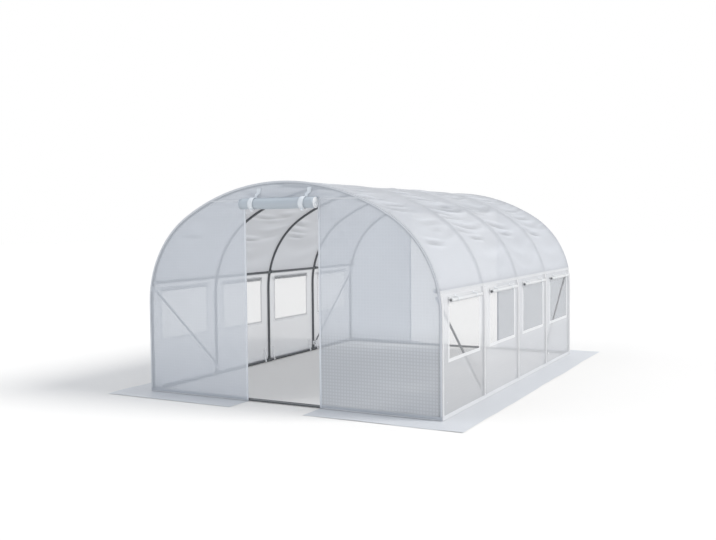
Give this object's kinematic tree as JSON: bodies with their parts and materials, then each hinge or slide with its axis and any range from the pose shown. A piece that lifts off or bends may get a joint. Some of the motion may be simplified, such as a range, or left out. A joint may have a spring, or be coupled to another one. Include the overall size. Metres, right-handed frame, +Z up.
{
  "type": "polytunnel greenhouse",
  "caption": "Arched polytunnel greenhouse: bent tube hoops, rails and braces under a translucent film cover with ground skirts, netted side windows and rolled-up end doors.",
  "frame": {"origin": "centre of the footprint on the ground", "axes": "+Z up, +Y along the tunnel from the front doorway to the back one, +X to the right"},
  "size_m": [3.5786, 4.5786, 1.9623],
  "materials": {
    "steel_tube": "dull dark galvanised steel",
    "white_plastic": "moulded white plastic",
    "cover_film": "translucent white polyethylene film with a fine scrim",
    "skirt_film": "translucent white polyethylene film laid on the ground",
    "insect_net": "fine white insect net",
    "rolled_film": "film rolled up in many layers",
    "strap_tape": "white sewn tape"
  },
  "bodies": {
    "root": {"front_arch": "steel_tube", "arch_2": "steel_tube", "arch_3": "steel_tube", "arch_4": "steel_tube", "back_arch": "steel_tube", "left_posts": "steel_tube", "right_posts": "steel_tube", "ridge_rail": "steel_tube", "left_shoulder_rail": "steel_tube", "right_shoulder_rail": "steel_tube", "left_base_rail": "steel_tube", "right_base_rail": "steel_tube", "front_sill_rail": "steel_tube", "back_sill_rail": "steel_tube", "left_braces": "steel_tube", "right_braces": "steel_tube", "corner_feet": "steel_tube", "foot_tees": "steel_tube", "ridge_clamps": "steel_tube", "shoulder_clamps": "steel_tube", "brace_clamps": "white_plastic", "rail_clips": "white_plastic", "rail_plugs": "white_plastic", "roof_cover": "cover_film", "left_wall": "cover_film", "right_wall": "cover_film", "front_wall_left": "cover_film", "front_wall_right": "cover_film", "front_wall_head": "cover_film", "back_wall_left": "cover_film", "back_wall_right": "cover_film", "back_wall_head": "cover_film", "left_skirt": "skirt_film", "right_skirt": "skirt_film", "front_skirts": "skirt_film", "back_skirts": "skirt_film", "left_window_nets": "insect_net", "right_window_nets": "insect_net", "front_door_roll": "rolled_film", "back_door_roll": "rolled_film", "left_flap_rolls": "rolled_film", "right_flap_rolls": "rolled_film", "door_ties": "strap_tape", "flap_ties": "strap_tape", "door_zips": "strap_tape"}
  },
  "joints": []
}
